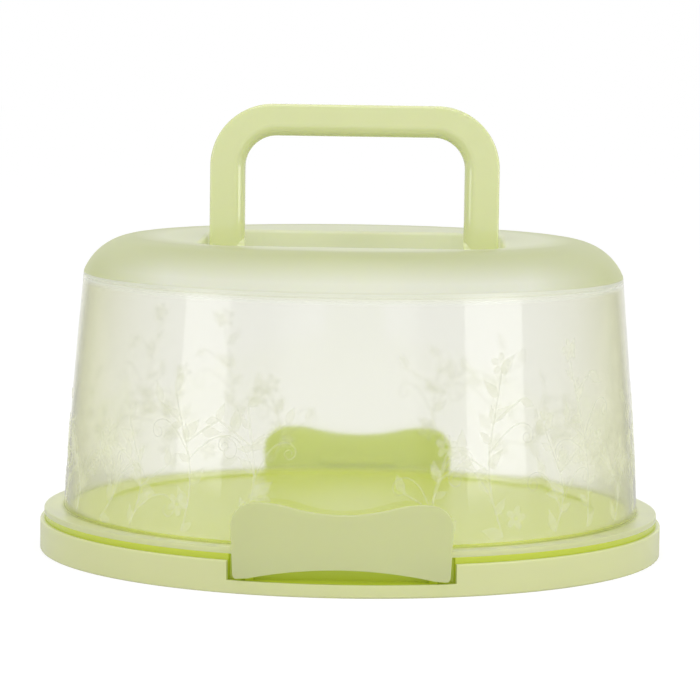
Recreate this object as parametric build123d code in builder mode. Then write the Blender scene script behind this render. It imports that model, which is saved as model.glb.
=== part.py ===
from build123d import *
from math import asin, cos, degrees, pi, radians, sin, sqrt, tan
import os

# Round cake carrier. Millimetres, +Z up, origin at the centre of the ring it rests on.
# X runs along the carrying handle, -Y is the front latch.

# Base tray
base_radius = 155.0
wall = 2.4
rim_height = 15.3
rim_ledge = 2.4
seat_step = 3.0
seat_width = 13.6
plateau_step = 3.7
plateau_width = 17.0
floor_dip = 1.0
rim_round = 0.8
foot_round = 0.8
rib_count = 12
rib_thickness = 2.0
rib_depth = 4.0
hub_ring_radius = 20.0
ring_rib_inset = 44.0

# Pocket in the tray wall for each latch
pocket_half_width = 53.1
pocket_floor = 6.2

# Latch hinge
lug_plate_gap = 0.3
latch_opening = 18.0
pin_radius = 1.1
pin_clearance = 0.05
pin_overrun = 0.5
lug_radius = 2.1
lug_width = 3.8
lug_inset = 8.85
ear_radius = 2.9
ear_length = 4.5
ear_gap = 0.5
ear_back_gap = 0.6
ear_floor_gap = 0.5
plate_floor_gap = 0.2

# Latch plate
latch_clearance = 0.9
latch_thickness = 2.6
latch_rise = 29.0
latch_dip = 3.0
crest_rise = 1.55
crest_width = 16.85
crest_inset = 12.6
shoulder_round = 11.7
side_lean_angle = 3.0
arch_rise = 3.5
latch_edge_round = 0.7
catch_half_width = 20.0
catch_reach = 2.5
catch_gap = 0.3
catch_tip_rise = 1.3
catch_height = 3.6
catch_tip_height = 1.7

# Cover wall
flange_overhang = 0.4
flange_thickness = 2.7
plateau_clearance = 1.9
cover_height = 117.1
wall_draft = 9.1
wall_bow = 0.5
foot_fillet = 0.8
flange_round = 0.8
neck_inset = 4.0
neck_height = 2.2

# Handle
handle_half_length = 71.8
handle_height = 72.9
leg_width = 17.4
bar_height = 15.9
handle_depth = 14.0
handle_outer_corner = 31.0
handle_inner_corner = 15.5
handle_edge_round = 1.2
grip_round = 6.0
handle_pin_radius = 2.5
handle_pin_length = 6.5

# Cap
cap_clearance = 0.15
cap_straight = 0.8
cap_rise = 17.9
crown_inset = 26.0
leg_gap = 1.8
fold_clearance = 5.1
fold_floor_gap = 0.5
recess_back = 50.0
recess_front_corner = 22.0
recess_back_corner = 25.0
recess_lip_round = 1.8
recess_floor_round = 3.0
bearing_clearance = 0.06
bearing_radius = 5.0
bearing_end_gap = 0.5
bearing_wall = 2.0

os.makedirs("parts", exist_ok=True)

# Tray: revolved shell, shallow ribs beneath, two latch pockets with hinge lugs
inner_wall = base_radius - wall
seat_radius = base_radius - rim_ledge
seat_height = rim_height + seat_step
plateau_radius = seat_radius - seat_width
plateau_height = seat_height + plateau_step
floor_radius = plateau_radius - plateau_width
floor_height = plateau_height - floor_dip
flange_radius = seat_radius + flange_overhang
latch_inner_radius = flange_radius + latch_clearance
latch_outer_radius = latch_inner_radius + latch_thickness
lug_end_x = pocket_half_width - lug_inset
lug_start_x = lug_end_x - lug_width
hinge_y = sqrt(latch_inner_radius ** 2 - lug_end_x ** 2) - lug_radius - lug_plate_gap
hinge_z = pocket_floor + ear_floor_gap + ear_radius
pocket_back = hinge_y - ear_radius - ear_back_gap
tray_section = [
    (0, floor_height),
    (floor_radius, floor_height),
    (floor_radius, plateau_height),
    (plateau_radius, plateau_height),
    (plateau_radius, seat_height),
    (seat_radius, seat_height),
    (seat_radius, rim_height),
    (base_radius, rim_height),
    (base_radius, 0),
    (inner_wall, 0),
    (inner_wall, rim_height - wall),
    (seat_radius - wall, rim_height - wall),
    (seat_radius - wall, seat_height - wall),
    (plateau_radius - wall, seat_height - wall),
    (plateau_radius - wall, plateau_height - wall),
    (floor_radius - wall, plateau_height - wall),
    (floor_radius - wall, floor_height - wall),
    (0, floor_height - wall),
]
rib_foot = floor_height - wall - rib_depth
rib_top = floor_height - 0.25 * wall
rib_section = [
    (hub_ring_radius, rib_foot),
    (seat_radius - 0.5 * wall, rib_foot),
    (seat_radius - 0.5 * wall, seat_height - 0.5 * wall),
    (plateau_radius - 0.5 * wall, seat_height - 0.5 * wall),
    (plateau_radius - 0.5 * wall, rib_top),
    (hub_ring_radius, rib_top),
]
pocket_blocks = [
    (inner_wall + 0.5 * wall, rim_height - 0.5 * wall),
    (seat_radius - 0.5 * wall, seat_height - 0.5 * wall),
]
pocket_slope = pocket_half_width / sqrt(base_radius ** 2 - pocket_half_width ** 2)
pocket_reach = base_radius + wall
opening_angle = radians(latch_opening)
lug_front = lug_radius * cos(opening_angle)
lug_front_drop = lug_radius * sin(opening_angle)
lug_foot_drop = hinge_z - pocket_floor + 0.5 * wall
lug_foot = lug_front - (lug_foot_drop - lug_front_drop) * sin(opening_angle) / cos(opening_angle)
lug_back = hinge_y - pocket_back + 0.5 * wall

with BuildPart() as base_tray:
    with BuildSketch(Plane.XZ):
        with BuildLine():
            Polyline(*tray_section, close=True)
        make_face()
    revolve(axis=Axis.Z)
    for radius in (hub_ring_radius, floor_radius - ring_rib_inset):
        with BuildSketch(Plane.XY.offset(rib_foot)):
            Circle(radius + rib_thickness / 2)
            Circle(radius - rib_thickness / 2, mode=Mode.SUBTRACT)
        extrude(amount=rib_top - rib_foot)
    for number in range(rib_count):
        rib_plane = Plane(
            origin=(0, 0, 0),
            x_dir=(cos((number + 0.5) * 2 * pi / rib_count), sin((number + 0.5) * 2 * pi / rib_count), 0),
            z_dir=(sin((number + 0.5) * 2 * pi / rib_count), -cos((number + 0.5) * 2 * pi / rib_count), 0),
        )
        with BuildSketch(rib_plane):
            with BuildLine():
                Polyline(*rib_section, close=True)
            make_face()
        extrude(amount=rib_thickness / 2, both=True)
    # Walls and floor of the two pockets, kept inside the outer wall and the step
    for side in (-1, 1):
        for block_radius, block_top in pocket_blocks:
            with BuildSketch(Plane.XY.offset(pocket_floor - wall)):
                Circle(block_radius)
                with Locations((0, side * (pocket_back - wall + base_radius / 2))):
                    Rectangle(2 * (pocket_half_width + wall), base_radius, mode=Mode.INTERSECT)
            extrude(amount=block_top - pocket_floor + wall)
        with BuildSketch(Plane.XY.offset(pocket_floor)):
            with BuildLine():
                Polyline(
                    (-pocket_slope * pocket_back, side * pocket_back),
                    (pocket_slope * pocket_back, side * pocket_back),
                    (pocket_slope * pocket_reach, side * pocket_reach),
                    (-pocket_slope * pocket_reach, side * pocket_reach),
                    close=True,
                )
            make_face()
        extrude(amount=plateau_height, mode=Mode.SUBTRACT)
    rim_edges = [
        edge for edge in base_tray.edges().filter_by(GeomType.CIRCLE)
        if abs(edge.radius - base_radius) < 0.01 and abs(edge.center().Z - rim_height) < 0.01
    ]
    fillet(rim_edges, radius=rim_round)
    foot_edges = [
        edge for edge in base_tray.edges().filter_by(GeomType.CIRCLE)
        if abs(edge.radius - base_radius) < 0.01 and abs(edge.center().Z) < 0.01
    ]
    fillet(foot_edges, radius=foot_round)
    # Hinge lugs standing in each pocket
    for side in (-1, 1):
        for end in (-1, 1):
            with BuildSketch(Plane.YZ.offset(end * lug_start_x)):
                with Locations((side * hinge_y, hinge_z)):
                    Circle(lug_radius)
                with BuildLine():
                    Polyline(
                        (side * (hinge_y + lug_front), hinge_z - lug_front_drop),
                        (side * (hinge_y + lug_foot), hinge_z - lug_foot_drop),
                        (side * (hinge_y - lug_back), hinge_z - lug_foot_drop),
                        (side * (hinge_y - lug_back), hinge_z + lug_radius),
                        (side * hinge_y, hinge_z + lug_radius),
                        (side * hinge_y, hinge_z - lug_front_drop),
                        close=True,
                    )
                make_face()
            extrude(amount=end * (lug_end_x - lug_start_x))
            with BuildSketch(Plane.YZ.offset(end * lug_start_x)):
                with Locations((side * hinge_y, hinge_z)):
                    Circle(pin_radius + pin_clearance)
            extrude(amount=end * (lug_end_x - lug_start_x), mode=Mode.SUBTRACT)
base_tray.part.label = "base_tray"
export_step(base_tray.part, "parts/base_tray.step")

# Latch: curved plate cut from a ring, ears with stub pins at the bottom corners, catch inside
side_lean = radians(side_lean_angle)
latch_top_middle = hinge_z + latch_rise
crest_end_x = pocket_half_width - crest_inset
crest_end_z = latch_top_middle + latch_dip + crest_rise
middle_half_width = crest_end_x - crest_width
middle_radius = (middle_half_width ** 2 + latch_dip ** 2) / (2 * latch_dip)
middle_angle = degrees(asin(middle_half_width / middle_radius))
cut_depth = hinge_z - pocket_floor - plate_floor_gap
cut_reach = latch_outer_radius - hinge_y + wall
cut_start = (0 - cut_depth) / cos(opening_angle)
cut_end = (cut_reach * sin(opening_angle) - cut_depth) / cos(opening_angle)
catch_underside = seat_height + flange_thickness + catch_gap
catch_arc = 2 * degrees(asin(catch_half_width / flange_radius))
catch_start = radians(-90.0 - catch_arc / 2)
catch_tip_radius = flange_radius - catch_reach

with BuildPart() as latch_front:
    with BuildSketch(Plane.XZ):
        with BuildLine():
            middle = JernArc((0, latch_top_middle), (1, 0), middle_radius, middle_angle)
            crest = TangentArc(middle @ 1, (crest_end_x, crest_end_z), tangent=middle % 1)
            crest_slope = degrees(asin((crest % 1).Y))
            shoulder_turn = 90 + side_lean_angle + crest_slope
            shoulder = JernArc(crest @ 1, crest % 1, shoulder_round, -shoulder_turn)
            # Bottom corner tangent to the side, then the arch tangent to both corners
            side_fall = (shoulder @ 1).Y - hinge_z
            corner_x = (shoulder @ 1).X - side_fall * tan(side_lean) - ear_radius / cos(side_lean)
            arch_radius = (corner_x ** 2 + arch_rise ** 2 - ear_radius ** 2) / (2 * (arch_rise + ear_radius))
            arch_angle = degrees(asin(corner_x / (arch_radius + ear_radius)))
            corner_turn = 90 - side_lean_angle + arch_angle
            corner = CenterArc((corner_x, hinge_z), ear_radius, -side_lean_angle, -corner_turn)
            Line(shoulder @ 1, corner @ 0)
            mirror(about=Plane.YZ)
            ThreePointArc(corner @ 1, (0, hinge_z + arch_rise), (-(corner @ 1).X, (corner @ 1).Y))
        make_face()
    extrude(amount=latch_outer_radius + wall)
    with BuildSketch(Plane.XY):
        Circle(latch_outer_radius)
        Circle(latch_inner_radius, mode=Mode.SUBTRACT)
    extrude(amount=2 * latch_top_middle, mode=Mode.INTERSECT)
    outer_edges = [
        edge for edge in latch_front.edges()
        if all(abs(sqrt(v.X ** 2 + v.Y ** 2) - latch_outer_radius) < 0.01 for v in edge.vertices())
        and abs(sqrt(edge.center().X ** 2 + edge.center().Y ** 2) - latch_outer_radius) < latch_thickness / 2
    ]
    fillet(outer_edges, radius=latch_edge_round)
    # Underside sloped so that the plate clears the pocket when it opens
    with BuildSketch(Plane.YZ):
        with BuildLine():
            Polyline(
                (-hinge_y, hinge_z + cut_start),
                (-hinge_y - cut_reach, hinge_z + cut_end),
                (-hinge_y - cut_reach, 0),
                (-hinge_y, 0),
                close=True,
            )
        make_face()
    extrude(amount=pocket_half_width, both=True, mode=Mode.SUBTRACT)
    for end in (-1, 1):
        with BuildSketch(Plane.YZ.offset(end * (lug_end_x + ear_gap))):
            with Locations((-hinge_y, hinge_z)):
                Circle(ear_radius)
        extrude(amount=end * ear_length)
        with BuildSketch(Plane.YZ.offset(end * (lug_end_x + ear_gap))):
            with Locations((-hinge_y, hinge_z)):
                Circle(pin_radius)
        extrude(amount=-end * (lug_end_x + ear_gap - lug_start_x + pin_overrun))
    catch_plane = Plane(
        origin=(0, 0, 0),
        x_dir=(cos(catch_start), sin(catch_start), 0),
        z_dir=(sin(catch_start), -cos(catch_start), 0),
    )
    with BuildSketch(catch_plane):
        with BuildLine():
            Polyline(
                (latch_inner_radius + latch_thickness / 2, catch_underside),
                (flange_radius, catch_underside),
                (catch_tip_radius, catch_underside + catch_tip_rise),
                (catch_tip_radius, catch_underside + catch_tip_rise + catch_tip_height),
                (latch_inner_radius, catch_underside + catch_tip_rise + catch_height),
                (latch_inner_radius + latch_thickness / 2, catch_underside + catch_tip_rise + catch_height),
                close=True,
            )
        make_face()
    revolve(axis=Axis.Z, revolution_arc=catch_arc)
latch_front.part.label = "latch_front"
export_step(latch_front.part, "parts/latch_front.step")

# The back latch is the same moulding turned half round
with BuildPart() as latch_back:
    add(latch_front.part.rotate(Axis.Z, 180))
latch_back.part.label = "latch_back"
export_step(latch_back.part, "parts/latch_back.step")

# Cover wall: tapered clear wall, flange at the foot, shoulder and neck for the cap
flange_top = seat_height + flange_thickness
shoulder_height = flange_top + cover_height
shoulder_underside = shoulder_height - wall
cover_foot_radius = plateau_radius + plateau_clearance + wall
shoulder_radius = cover_foot_radius - wall_draft
cover_middle_radius = (cover_foot_radius + shoulder_radius) / 2 + wall_bow
cover_middle_height = (flange_top + shoulder_height) / 2
neck_radius = shoulder_radius - neck_inset

with BuildPart() as cover_wall:
    with BuildSketch(Plane.XZ):
        with BuildLine():
            ThreePointArc(
                (cover_foot_radius, flange_top),
                (cover_middle_radius, cover_middle_height),
                (shoulder_radius, shoulder_height),
            )
            Polyline(
                (shoulder_radius, shoulder_height),
                (neck_radius, shoulder_height),
                (neck_radius, shoulder_height + neck_height),
                (neck_radius - wall, shoulder_height + neck_height),
                (neck_radius - wall, shoulder_underside),
                (shoulder_radius - wall, shoulder_underside),
            )
            ThreePointArc(
                (shoulder_radius - wall, shoulder_underside),
                (cover_middle_radius - wall, cover_middle_height),
                (cover_foot_radius - wall, flange_top),
            )
            Polyline(
                (cover_foot_radius - wall, flange_top),
                (cover_foot_radius - wall, seat_height),
                (flange_radius, seat_height),
                (flange_radius, flange_top),
                (cover_foot_radius, flange_top),
            )
        make_face()
    revolve(axis=Axis.Z)
    flange_edges = [
        edge for edge in cover_wall.edges().filter_by(GeomType.CIRCLE)
        if abs(edge.radius - flange_radius) < 0.01 and edge.center().Z > seat_height + 0.1
    ]
    fillet(flange_edges, radius=flange_round)
    foot_edges = [
        edge for edge in cover_wall.edges().filter_by(GeomType.CIRCLE)
        if abs(edge.radius - cover_foot_radius) < 0.01 and abs(edge.center().Z - flange_top) < 0.01
    ]
    fillet(foot_edges, radius=foot_fillet)
cover_wall.part.label = "cover_wall"
export_step(cover_wall.part, "parts/cover_wall.step")

# Cap: domed rim and flat crown, closed recess for the folded handle, blind bearings at its ends
cap_radius = shoulder_radius - cap_clearance
cap_inner_radius = neck_radius + cap_clearance
straight_top = shoulder_height + cap_straight
crown_radius = shoulder_radius - crown_inset
crown_height = shoulder_height + cap_rise
recess_half_length = handle_half_length + leg_gap
recess_front = handle_height + fold_clearance
recess_floor = crown_height - handle_depth - fold_floor_gap
handle_pivot_z = crown_height - handle_depth / 2
bearing_depth = handle_pin_length + bearing_end_gap
recess_middle_y = (recess_back - recess_front) / 2
recess_depth_y = recess_back + recess_front

with BuildPart() as cover_cap:
    with BuildSketch(Plane.XZ):
        with BuildLine():
            curve = TangentArc((crown_radius, crown_height), (cap_radius, straight_top), tangent=(1, 0))
            curve_centre = curve.arc_center
            inner_curve = curve.radius - wall
            inner_rise = sqrt(inner_curve ** 2 - (cap_inner_radius - curve_centre.X) ** 2)
            inner_start = (cap_inner_radius, curve_centre.Y + inner_rise)
            inner_middle = (
                curve_centre.X + inner_curve * sin(pi / 4),
                curve_centre.Y + inner_curve * cos(pi / 4),
            )
            Polyline((crown_radius, crown_height), (0, crown_height), (0, crown_height - wall))
            Line((0, crown_height - wall), (crown_radius, crown_height - wall))
            ThreePointArc((crown_radius, crown_height - wall), inner_middle, inner_start)
            Polyline(
                inner_start,
                (cap_inner_radius, shoulder_height),
                (cap_radius, shoulder_height),
                (cap_radius, straight_top),
            )
        make_face()
    revolve(axis=Axis.Z)
    # Basin below the crown, then the recess cut into it
    for grow, bottom in ((wall, recess_floor - wall), (0, recess_floor)):
        with BuildSketch(Plane.XY.offset(bottom)) as recess_outline:
            with Locations((0, recess_middle_y)):
                Rectangle(2 * (recess_half_length + grow), recess_depth_y + 2 * grow)
            fillet(recess_outline.vertices().group_by(Axis.Y)[0], radius=recess_front_corner + grow)
            fillet(recess_outline.vertices().group_by(Axis.Y)[-1], radius=recess_back_corner + grow)
        if grow > 0:
            extrude(amount=crown_height - 0.5 * wall - bottom)
            for end in (-1, 1):
                with BuildSketch(Plane.YZ.offset(end * recess_half_length)):
                    with Locations((0, handle_pivot_z)):
                        Circle(bearing_radius)
                extrude(amount=end * (bearing_depth + bearing_wall))
        if grow == 0:
            extrude(amount=crown_height + wall - bottom, mode=Mode.SUBTRACT)
    lip_edges = [
        edge for edge in cover_cap.edges()
        if abs(edge.center().Z - crown_height) < 0.01
        and all(abs(v.X) < recess_half_length + 0.1 for v in edge.vertices())
        and edge.length < 2 * crown_radius
    ]
    fillet(lip_edges, radius=recess_lip_round)
    basin_edges = [
        edge for edge in cover_cap.edges()
        if abs(edge.center().Z - recess_floor) < 0.01
    ]
    fillet(basin_edges, radius=recess_floor_round)
    for end in (-1, 1):
        with BuildSketch(Plane.YZ.offset(end * (recess_half_length - wall))):
            with Locations((0, handle_pivot_z)):
                Circle(handle_pin_radius + bearing_clearance)
        extrude(amount=end * (bearing_depth + wall), mode=Mode.SUBTRACT)
cover_cap.part.label = "cover_cap"
export_step(cover_cap.part, "parts/cover_cap.step")

# Handle: flat U, well rounded on the inside for the hand, with a stub pin at each foot
inner_half_length = handle_half_length - leg_width
handle_top = handle_pivot_z + handle_height

with BuildPart() as handle:
    with BuildSketch(Plane.XZ):
        with Locations((0, (handle_top + handle_pivot_z) / 2)):
            outer = Rectangle(2 * handle_half_length, handle_top - handle_pivot_z)
        fillet(outer.vertices().group_by(Axis.Y)[-1], radius=handle_outer_corner)
    extrude(amount=handle_depth / 2, both=True)
    with BuildSketch(Plane.XZ):
        with Locations((0, (handle_top - bar_height + handle_pivot_z) / 2 - handle_depth / 2)):
            gap = Rectangle(2 * inner_half_length, handle_top - bar_height - handle_pivot_z + handle_depth)
        fillet(gap.vertices().group_by(Axis.Y)[-1], radius=handle_inner_corner)
    extrude(amount=handle_depth / 2, both=True, mode=Mode.SUBTRACT)
    # Grip edges round the inside of the U, and the outer edges
    grip_edges = [
        edge for edge in handle.edges()
        if abs(abs(edge.center().Y) - handle_depth / 2) < 0.01
        and abs(edge.center().X) < inner_half_length + 0.5
        and edge.center().Z < handle_top - bar_height + 0.5
        and edge.center().Z > handle_pivot_z + 0.5
    ]
    fillet(grip_edges, radius=grip_round)
    outer_edges = [
        edge for edge in handle.edges()
        if abs(abs(edge.center().Y) - handle_depth / 2) < 0.01
        and edge.center().Z > handle_pivot_z + 0.5
        and (abs(edge.center().X) > handle_half_length - handle_outer_corner or edge.center().Z > handle_top - 0.5)
        and (abs(edge.center().X) > handle_half_length - leg_width / 2 or edge.center().Z > handle_top - bar_height / 2)
    ]
    fillet(outer_edges, radius=handle_edge_round)
    for end in (-1, 1):
        with BuildSketch(Plane.YZ.offset(end * inner_half_length)):
            with Locations((0, handle_pivot_z)):
                Circle(handle_depth / 2)
        extrude(amount=end * leg_width)
        with BuildSketch(Plane.YZ.offset(end * handle_half_length)):
            with Locations((0, handle_pivot_z)):
                Circle(handle_pin_radius)
        extrude(amount=end * (recess_half_length - handle_half_length + handle_pin_length))
handle.part.label = "handle"
export_step(handle.part, "parts/handle.step")
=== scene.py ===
import math
import random

import bpy
from bpy.props import (
    FloatProperty,
    FloatVectorProperty,
    IntProperty,
    PointerProperty,
)
from bpy.types import Operator, Panel, PropertyGroup
from mathutils import Matrix, Vector


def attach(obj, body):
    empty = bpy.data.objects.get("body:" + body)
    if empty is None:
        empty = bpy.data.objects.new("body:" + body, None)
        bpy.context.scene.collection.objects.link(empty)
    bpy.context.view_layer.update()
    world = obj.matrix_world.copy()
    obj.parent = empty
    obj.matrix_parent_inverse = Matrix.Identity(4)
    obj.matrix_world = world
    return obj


bl_info = {
    "name": "Cake Carrier",
    "version": (1, 0, 0),
    "blender": (4, 5, 0),
    "location": "3D View > Sidebar > Cake Carrier",
    "description": "Dresses a round cake carrier: moulded finishes, a raised vine and a plain stage",
    "category": "Object",
}

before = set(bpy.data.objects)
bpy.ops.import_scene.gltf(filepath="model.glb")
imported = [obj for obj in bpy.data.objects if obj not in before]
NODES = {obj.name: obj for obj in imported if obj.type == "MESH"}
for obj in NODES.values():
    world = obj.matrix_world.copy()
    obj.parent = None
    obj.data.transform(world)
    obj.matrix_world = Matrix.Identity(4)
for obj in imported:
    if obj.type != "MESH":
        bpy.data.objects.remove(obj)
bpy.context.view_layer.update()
MM = 0.001

# Where one finish passes into the next, or where painted shade or light starts: radii from the carrier's
# axis, distances aside of it, or heights
# The next two zones bound painted shade: a deeper green on the tray's seat ring under the cover's flange and
# low down in the latch pocket
SEAT_SHADE_EDGE = (149.0 * MM, 150.4 * MM)
POCKET_SHADE_TOP = (13.5 * MM, 14.5 * MM)
TRAY_WALL = (152.9 * MM, 153.6 * MM)
FLANGE_EDGE = (143.4 * MM, 145.0 * MM)
WALL_FOOT = (27.0 * MM, 21.5 * MM)
WALL_BROW = (131.0 * MM, 138.0 * MM)
WALL_SHOULDER = (132.8 * MM, 135.4 * MM)
# Painted light on the cap: the next zone pales the crown and recess, and the two after it pale the rim
# towards the front and back
CROWN_LIGHT_EDGE = (95.0 * MM, 110.0 * MM)
RIM_LIGHT_SIDES = (86.0 * MM, 124.0 * MM)
RIM_LIGHT_TOP = (154.0 * MM, 142.5 * MM)
# Painted glow: inside this radius the latches take a brighter, deeper green for light coming through them
# from behind
LATCH_GLOW_FACE = (154.8 * MM, 155.6 * MM)

# Plastics: the scales are in patches per metre, the clarity is the share of light let through, and the veil
# is how much of the frosted skin is only a veil over what lies behind it
PLASTIC_IOR = 1.49
NOISE_ZONE = (0.3, 0.7)
CLOUD_SCALE = 14.0
CLOUD_DEPTH = 0.012
WEAR_SCALE = 20.0
WEAR_DEPTH = 0.01
SKIN_SCALE = 500.0
HAZE_SCALE = 25.0
HAZE = (0.055, 0.085)
RIPPLE_SCALE = 14.0
FROST_SCALE = 300.0
FROST_SHADES = (0.93, 1.05)
FROST_ROUGHNESS = 0.6
FROST_SHINE = 0.25
FROST_VEIL = 0.5
WALL_CLARITY = 0.975
FLANGE_CLARITY = 0.50
SHOULDER_CLARITY = 0.62
FOOT_HAZE = 0.28
BROW_HAZE = 0.35
EDGE_TINT_POWER = 2.6
POLISH_ROUGHNESS = 0.03

# Light that sinks into the milky plastics: its share, its reach by colour, and its depth
SINK_SHARE = 0.25
SINK_REACH = (0.8, 1.0, 0.3)
SINK_DEPTH = 4.0 * MM

# Unevenness of the surfaces: strength and depth
SKIN_RELIEF = (0.005, 0.1 * MM)
RIPPLE_RELIEF = (0.008, 1.0 * MM)
FROST_RELIEF = (0.1, 0.1 * MM)

# Growth of the vine: lengths in millimetres, angles in degrees, bends in turns per metre, starts as shares
# of a stem's height, and the sway's turn in radians from the foot to the top
STEM_FOOT = 25.0
STEM_SCATTER = (-5.0, 5.0)
STEM_HEIGHT = (34.0, 84.0)
STEM_LEAN = (-13.0, 13.0)
STEM_SWAY = (4.0, 9.0)
SWAY_TURN = 4.2
STEM_STEPS = 6
TENDRIL_START = (0.12, 0.55)
TENDRIL_SLANT = (20.0, 50.0)
TENDRIL_LENGTH = (34.0, 54.0)
TENDRIL_FIRST_BEND = (-3.0, 2.0)
TENDRIL_LAST_BEND = (70.0, 105.0)
TENDRIL_TIGHTENING = 2.2
TENDRIL_STEPS = 44
TWIG_START = (0.10, 0.30)
TWIG_REACH = (11.0, 20.0)
TWIG_SLOPE = 0.75
TWIG_DROOP = 0.1
TWIG_STEPS = 3
FLOWER_CHANCE = 0.5
FLOWER_ASIDE = (-12.0, 12.0)
FLOWER_HEIGHT = (32.0, 62.0)
FLOWER_TURN = (0.0, 72.0)
FLOWER_LIFT = 4.0

# Making of the vine: the step along a stem in metres, its sides, and each leaf's share of the full length
# and swing off the stem in radians, both with the seed of their random draw
STEM_STEP = 1.2 * MM
STEM_SIDES = 6
LEAF_SIZES = (0.62, 1.05)
LEAF_SIZES_SEED = 7
LEAF_SWING = (0.55, 1.15)
LEAF_SWING_SEED = 3
FEWEST_FACES = 1000

# Thickness of the guides, in stem widths: tendrils thin out, and leaves grow only on the thicker stems
STEM_THICKNESS = 1.0
TENDRIL_THICKNESS = 0.85
TENDRIL_THINNING = 0.45
LEAFY_THICKNESS = 0.9

# Lengths that the vine's tree takes from the vine settings of the same names
VINE_LENGTHS = (
    "Stem Width",
    "Relief",
    "Leaf Length",
    "Leaf Spacing",
    "Foot Radius",
    "Shoulder Radius",
    "Wall Bulge",
    "Foot Height",
    "Shoulder Height",
)

# Room: how far aside it turns grey in reflections, the floor's grey where it lights the carrier and where it
# is seen, and how brightly the floor glows and how far it reaches in metres
SIDE_FALL = (0.42, 0.54)
FLOOR_BOUNCE = (0.8, 0.8, 0.8)
FLOOR_SHOWN = (0.25, 0.25, 0.25)
FLOOR_GLOW = 0.80
FLOOR_REACH = 8.0

# Camera: width of its sensor in millimetres, and the nearest and farthest that it sees in metres
SENSOR_WIDTH = 36.0
CAMERA_RANGE = (0.05, 50.0)

# Lamps: name, place, aim, width, height, the setting that gives their power, and their share of it
LAMPS = (
    ("softbox_left", (-1.46, -0.88, 0.52), (0.0, 0.0, 0.52), 0.62, 1.0, "softbox_power", 0.8),
    ("softbox_right", (1.47, -0.86, 0.52), (0.0, 0.0, 0.52), 0.80, 1.0, "softbox_power", 1.25),
    ("fill_panel", (0.0, -1.9, 1.15), (0.0, 0.0, 0.1), 1.2, 0.7, "fill_power", 1.0),
    ("top_panel", (0.0, -0.2, 1.7), (0.0, 0.0, 0.1), 1.4, 1.4, "top_power", 1.0),
)


# ---------------------------------------------------------------- settings

class FinishSettings(PropertyGroup):
    """Colours of the mouldings and of the raised vine, some of them painted shade and painted light."""

    tray_colour: FloatVectorProperty(
        name="Tray Colour", description="Pale green of the tray's outer wall",
        default=(0.60, 0.625, 0.32), size=3, min=0.0, max=1.0, subtype="COLOR")
    tray_floor_colour: FloatVectorProperty(
        name="Tray Floor Colour", description="Bright green of the cake floor",
        default=(0.62, 0.69, 0.05), size=3, min=0.0, max=1.0, subtype="COLOR")
    # Painted shade: a deeper, more saturated green that stands in for the shade in the gap under the flange
    # and inside the latch pocket
    tray_seat_colour: FloatVectorProperty(
        name="Tray Seat Painted Shade", description="Deeper green of the rim around the cover's seat",
        default=(0.505, 0.58, 0.05), size=3, min=0.0, max=1.0, subtype="COLOR")
    cap_colour: FloatVectorProperty(
        name="Cap Colour", description="Milky green of the cap's shoulder",
        default=(0.53, 0.55, 0.33), size=3, min=0.0, max=1.0, subtype="COLOR")
    # Painted light: a paler crown and recess that stand in for light falling on the top and coming through
    # the milky cap
    cap_crown_colour: FloatVectorProperty(
        name="Cap Crown Painted Light", description="Paler milky green of the cap's crown and recess",
        default=(0.76, 0.77, 0.61), size=3, min=0.0, max=1.0, subtype="COLOR")
    # Painted light: a rim paler towards the front and back than at its ends, standing in for light that
    # shows through the thin rim
    cap_rim_colour: FloatVectorProperty(
        name="Cap Rim Painted Light", description="Paler milky green of the cap's rim",
        default=(0.775, 0.775, 0.715), size=3, min=0.0, max=1.0, subtype="COLOR")
    handle_colour: FloatVectorProperty(
        name="Handle Colour", description="Yellow-green of the carrying handle",
        default=(0.63, 0.665, 0.345), size=3, min=0.0, max=1.0, subtype="COLOR")
    latch_colour: FloatVectorProperty(
        name="Latch Colour", description="Pale green of the latches' outer faces",
        default=(0.61, 0.62, 0.37), size=3, min=0.0, max=1.0, subtype="COLOR")
    # Painted glow: the inner faces, seen on the back latch through the wall, take a brighter, deeper green
    # for light coming through the latch from behind
    latch_inside_colour: FloatVectorProperty(
        name="Latch Inside Painted Glow", description="Deeper green of the latches' inner faces",
        default=(0.72, 0.80, 0.13), size=3, min=0.0, max=1.0, subtype="COLOR")
    clear_tint: FloatVectorProperty(
        name="Clear Tint", description="Faint tint of the clear wall seen square on",
        default=(0.925, 0.925, 0.888), size=3, min=0.0, max=1.0, subtype="COLOR")
    clear_flange_tint: FloatVectorProperty(
        name="Clear Flange Tint", description="Milky tint of the clear wall's flange",
        default=(0.815, 0.83, 0.56), size=3, min=0.0, max=1.0, subtype="COLOR")
    clear_shoulder_tint: FloatVectorProperty(
        name="Clear Shoulder Tint", description="Milky tint of the clear wall's shoulder, below the cap",
        default=(0.81, 0.82, 0.725), size=3, min=0.0, max=1.0, subtype="COLOR")
    clear_edge_tint: FloatVectorProperty(
        name="Clear Edge Tint", description="Stronger tint of the clear wall seen edge on",
        default=(0.62, 0.63, 0.06), size=3, min=0.0, max=1.0, subtype="COLOR")
    relief_colour: FloatVectorProperty(
        name="Relief Colour", description="Frosted green-white of the raised vine",
        default=(0.95, 0.95, 0.84), size=3, min=0.0, max=1.0, subtype="COLOR")
    relief_cover: FloatProperty(
        name="Relief Cover", description="How much light the frosted vine stops",
        default=0.26, min=0.0, max=1.0, subtype="FACTOR")


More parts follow.
